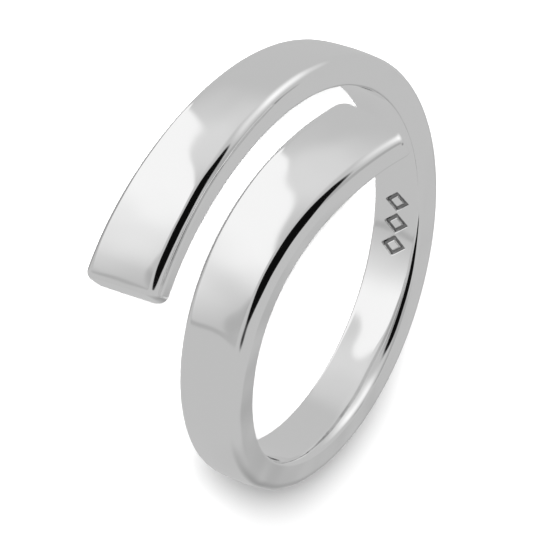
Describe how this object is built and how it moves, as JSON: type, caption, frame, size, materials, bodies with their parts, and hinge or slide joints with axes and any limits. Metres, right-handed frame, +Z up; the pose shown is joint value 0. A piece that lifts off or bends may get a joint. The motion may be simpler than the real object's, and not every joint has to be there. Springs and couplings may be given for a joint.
{
  "type": "bypass ring",
  "caption": "Polished open band that wraps the finger and overlaps itself, its wide flat ends passing side by side with a gap between them.",
  "frame": {"origin": "bottom centre of the bounding box, on the surface that the ring lies on", "axes": "+Z up from that surface, close to the finger hole's axis, which leans 11.7 degrees towards +X; the two ends pass each other on the -X side"},
  "size_m": [0.021, 0.0204, 0.0106],
  "materials": {
    "silver": "mirror-polished sterling silver"
  },
  "bodies": {
    "root": {"band": "silver"}
  },
  "joints": []
}
